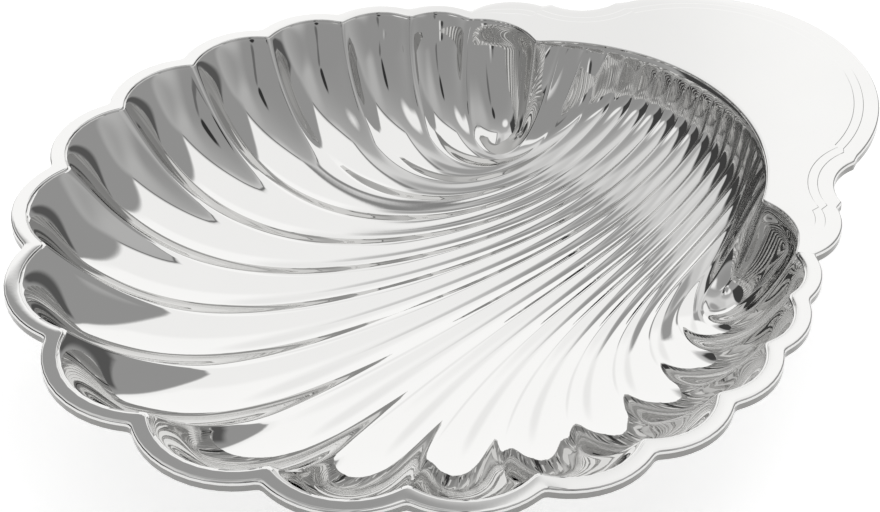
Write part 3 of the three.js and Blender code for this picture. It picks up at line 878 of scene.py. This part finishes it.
class TRAY_OT_handle(bpy.types.Operator):
    """Makes the fan-shaped handle plate with its two steps, and the wire under its edge"""
    bl_idname = "tray.handle"
    bl_label = "Handle"
    bl_options = {"REGISTER", "UNDO"}

    def execute(self, context):
        shape = context.scene.tray_shape
        shell = Shell(shape)
        handle = handle_piece("handle", handle_rows(shape, shell))
        finish_piece(handle, ["handle_plate"], silver("polished_silver"))
        top, bottom = -shape.plate, -shape.plate - shape.wire_height
        turn = arc_profile((0, 0), WIRE_ROUND, -90, -180)
        section = [(WIRE_INSET, top), (0, top)]
        section += [(-reach, bottom + WIRE_ROUND + drop) for reach, drop in turn]
        section += [(WIRE_INSET, bottom), (WIRE_INSET, top)]
        flat = np.zeros(HANDLE_POINTS)
        rows = [at_height(handle_line(shell, flat + inset), z) for inset, z in section]
        wire = handle_piece("handle_wire", rows)
        # The handle's wire takes the darker silver that paints shade under the handle's edge
        finish_piece(wire, ["handle_edge_wire"], silver("edge_silver_painted_shade"))
        return {"FINISHED"}


def turned_foot(name, shape, x, y):
    """Foot as it comes off the lathe: a disc drawn up ring by ring along its profile."""
    bulge = 2 * shape.foot_radius - (FOOT_BASE + FOOT_COLLAR) / 2
    share = np.linspace(0, 1, BUN_STEPS + 1)
    radii = FOOT_BASE * (1 - share)**2 + 2 * bulge * share * (1 - share) + FOOT_COLLAR * share**2
    profile = list(zip(radii, shape.foot_height * share))
    profile += [(FOOT_COLLAR, shape.foot_height + FOOT_NECK), (FOOT_COLLAR, FOOT_STOCK)]
    clear_selection()
    bpy.ops.mesh.primitive_circle_add(
        vertices=FOOT_SIDES, radius=FOOT_BASE - FOOT_EASE, fill_type="NGON", location=(x, y, 0))
    foot = bpy.context.object
    foot.name = foot.data.name = name
    bpy.ops.object.mode_set(mode="EDIT")
    bpy.ops.mesh.select_mode(type="FACE")
    bpy.ops.mesh.select_all(action="SELECT")
    radius, height = FOOT_BASE - FOOT_EASE, 0
    for wider, higher in [(FOOT_BASE, FOOT_EASE)] + profile[1:]:
        bpy.ops.mesh.extrude_region_move(TRANSFORM_OT_translate={"value": (0, 0, higher - height)})
        grow = wider / radius
        bpy.ops.transform.resize(value=(grow, grow, 1), center_override=(x, y, higher))
        radius, height = wider, higher
    bpy.ops.object.mode_set(mode="OBJECT")
    bpy.ops.object.transform_apply(location=True, rotation=True, scale=True)
    return foot


def cut_to_bowl(foot, bowl):
    """Cuts the top of a foot to the underside of the bowl."""
    for vertex in foot.data.vertices:
        below = Vector((vertex.co.x, vertex.co.y, UNDER_FEET))
        hit, place, _, _ = bowl.ray_cast(below, Vector((0, 0, 1)))
        if not hit:
            raise RuntimeError(f"{foot.name} doesn't stand under the bowl")
        vertex.co.z = min(vertex.co.z, place.z)


class TRAY_OT_feet(bpy.types.Operator):
    """Turns the three feet and cuts their tops to the flutes"""
    bl_idname = "tray.feet"
    bl_label = "Feet"
    bl_options = {"REGISTER", "UNDO"}

    def execute(self, context):
        bowl = context.scene.objects.get("bowl")
        if bowl is None:
            raise RuntimeError("the bowl comes before the feet")
        for name, (node, x, y) in FEET.items():
            foot = turned_foot(name, context.scene.tray_shape, x + PLACE[0], y + PLACE[1])
            cut_to_bowl(foot, bowl)
            join_sheet(close=True)
            finish_piece(foot, [node], silver("satin_silver"))
        return {"FINISHED"}


def floor_finish(colour):
    """Pale floor that looks white to the camera and keeps the tray's soft shadow."""
    material = bpy.data.materials.new("pale_floor")
    nodes = Nodes(material)
    place = nodes.add("ShaderNodeTexCoord")["Object"]
    cloud = nodes.noise(place, *FLOOR_CLOUD)
    tone = cloudy_tone(nodes, cloud, colour, FLOOR_CLOUD_TONE)
    paper = nodes.add(
        "ShaderNodeBsdfPrincipled", None,
        {"Base Color": tone, "Roughness": FLOOR_ROUGHNESS, "Specular IOR Level": FLOOR_SHEEN})["BSDF"]
    rays = nodes.add("ShaderNodeLightPath")
    mirrored_ray = rays["Is Glossy Ray"].at_least(rays["Is Transmission Ray"])
    seen = rays["Is Camera Ray"].at_least(mirrored_ray)
    lift = nodes.add(
        "ShaderNodeEmission", None, {"Color": (1, 1, 1, 1), "Strength": FLOOR_LIFT * seen})["Emission"]
    both = nodes.add("ShaderNodeAddShader", None, {0: paper, 1: lift})["Shader"]
    nodes.add("ShaderNodeOutputMaterial", None, {"Surface": both})
    return material


def studio_surroundings(look):
    """Surroundings by direction, in degrees from straight up: to the right, and away from the camera."""
    world = bpy.data.worlds.new("studio")
    bpy.context.scene.world = world
    nodes = Nodes(world)
    ray = nodes.add("ShaderNodeTexCoord")["Generated"]
    parts = nodes.add("ShaderNodeSeparateXYZ", None, {0: ray})
    ahead = VIEW_AHEAD[0] * parts["X"] + VIEW_AHEAD[1] * parts["Y"]
    aside = VIEW_AHEAD[1] * parts["X"] - VIEW_AHEAD[0] * parts["Y"]
    flat = (ahead * ahead + aside * aside).at_least(TINY) ** 0.5
    tilt = flat.math("ARCTAN2", flat, parts["Z"]) * math.degrees(1)
    x = tilt * aside / flat
    y = tilt * ahead / flat
    turn = aside.math("ARCTAN2", aside, ahead) * math.degrees(1)
    height = 90 - tilt

    def panel(across, along):
        return nodes.band(x, *across) * nodes.band(y, *along)

    def skirting(around, up):
        return nodes.band(turn, *around) * nodes.band(height, *up)

    def spot(across, along, soft):
        right, away = (x - across[0]) / across[1], (y - along[0]) / along[1]
        return 1 - nodes.rise((right * right + away * away) ** 0.5, 1, soft)

    masks = {"panel": panel, "skirting": skirting, "spot": spot}
    light = look.room * mix(*ROOM_TONES, nodes.rise(y, *ROOM_RISE))
    for kind, share, *place in STUDIO.values():
        share = getattr(look, share) if isinstance(share, str) else share
        light = mix(light, share, masks[kind](*place))
    rays = nodes.add("ShaderNodeLightPath")
    light = light * look.level
    strength = light + (1 - light) * rays["Is Camera Ray"]
    sky = nodes.add(
        "ShaderNodeBackground", None, {"Color": (1, 1, 1, 1), "Strength": strength})["Background"]
    nodes.add("ShaderNodeOutputWorld", None, {"Surface": sky})


class TRAY_OT_stage(bpy.types.Operator):
    """Sets up the floor, the studio's surroundings and the camera"""
    bl_idname = "tray.stage"
    bl_label = "Stage"
    bl_options = {"REGISTER", "UNDO"}

    def execute(self, context):
        look = context.scene.studio_look
        clear_selection()
        bpy.ops.mesh.primitive_plane_add(size=FLOOR_SIZE, location=(0, 0, FLOOR_HEIGHT))
        floor = context.object
        floor.name = floor.data.name = "floor"
        bpy.ops.object.transform_apply(location=True)
        floor.data.materials.append(floor_finish(look.floor))
        studio_surroundings(look)
        bpy.ops.object.camera_add(location=CAMERA_PLACE)
        camera = context.object
        camera.name = camera.data.name = "photo_camera"
        sight = Vector(CAMERA_TARGET) - Vector(CAMERA_PLACE)
        camera.rotation_euler = sight.to_track_quat("-Z", "Y").to_euler()
        camera.data.sensor_width = CAMERA_SENSOR
        camera.data.lens = CAMERA_LENS
        context.scene.camera = camera
        context.scene.view_settings.view_transform = "Standard"
        return {"FINISHED"}


class TRAY_PT_panel(bpy.types.Panel):
    """Lists the tray's pieces, sizes and finishes"""
    bl_idname = "TRAY_PT_panel"
    bl_label = "Shell Tray"
    bl_space_type = "VIEW_3D"
    bl_region_type = "UI"
    bl_category = "Shell Tray"

    def draw(self, context):
        for operator in OPERATORS:
            self.layout.operator(operator.bl_idname)
        scene = context.scene
        for group in (scene.tray_shape, scene.tray_finish, scene.studio_look):
            box = self.layout.box()
            for key in group.__annotations__:
                box.prop(group, key)


OPERATORS = (TRAY_OT_bowl, TRAY_OT_rim, TRAY_OT_handle, TRAY_OT_feet, TRAY_OT_stage)
CLASSES = (TrayShape, TrayFinish, StudioLook, *OPERATORS, TRAY_PT_panel)


def register():
    for cls in CLASSES:
        bpy.utils.register_class(cls)
    bpy.types.Scene.tray_shape = PointerProperty(type=TrayShape)
    bpy.types.Scene.tray_finish = PointerProperty(type=TrayFinish)
    bpy.types.Scene.studio_look = PointerProperty(type=StudioLook)


def unregister():
    del bpy.types.Scene.studio_look
    del bpy.types.Scene.tray_finish
    del bpy.types.Scene.tray_shape
    for cls in reversed(CLASSES):
        bpy.utils.unregister_class(cls)


def main():
    register()
    bpy.ops.tray.bowl()
    bpy.ops.tray.rim()
    bpy.ops.tray.handle()
    bpy.ops.tray.feet()
    bpy.ops.tray.stage()


if __name__ == "__main__":
    main()
